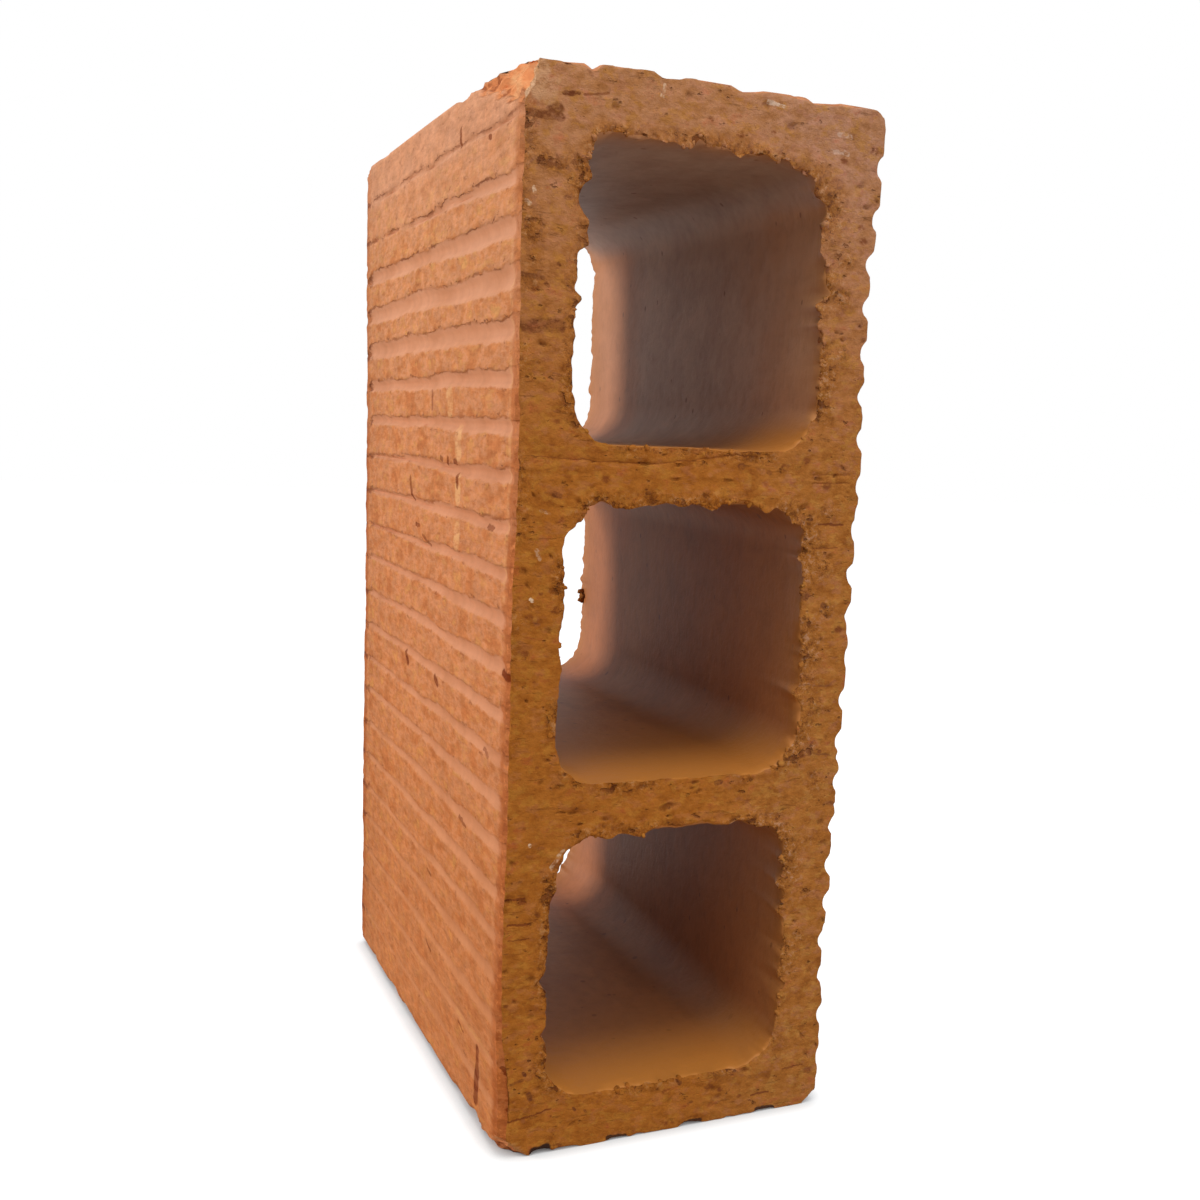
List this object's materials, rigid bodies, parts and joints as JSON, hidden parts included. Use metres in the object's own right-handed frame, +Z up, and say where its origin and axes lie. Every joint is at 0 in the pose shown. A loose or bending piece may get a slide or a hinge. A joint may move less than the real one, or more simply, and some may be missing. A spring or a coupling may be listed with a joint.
{
  "type": "hollow clay brick",
  "caption": "Hollow fired clay brick with round-cornered cells running from cut face to cut face and combed wide sides, standing on its narrow bed.",
  "frame": {"origin": "middle of the narrow bed face that the brick stands on", "axes": "+Z up along the brick's length, X across the combed sides, Y along the cells from one wire cut to the other"},
  "size_m": [0.086, 0.14, 0.24],
  "materials": {
    "fired_clay": "unglazed, rough, wire-cut and combed"
  },
  "bodies": {
    "root": {"brick_body": "fired_clay"}
  },
  "joints": []
}
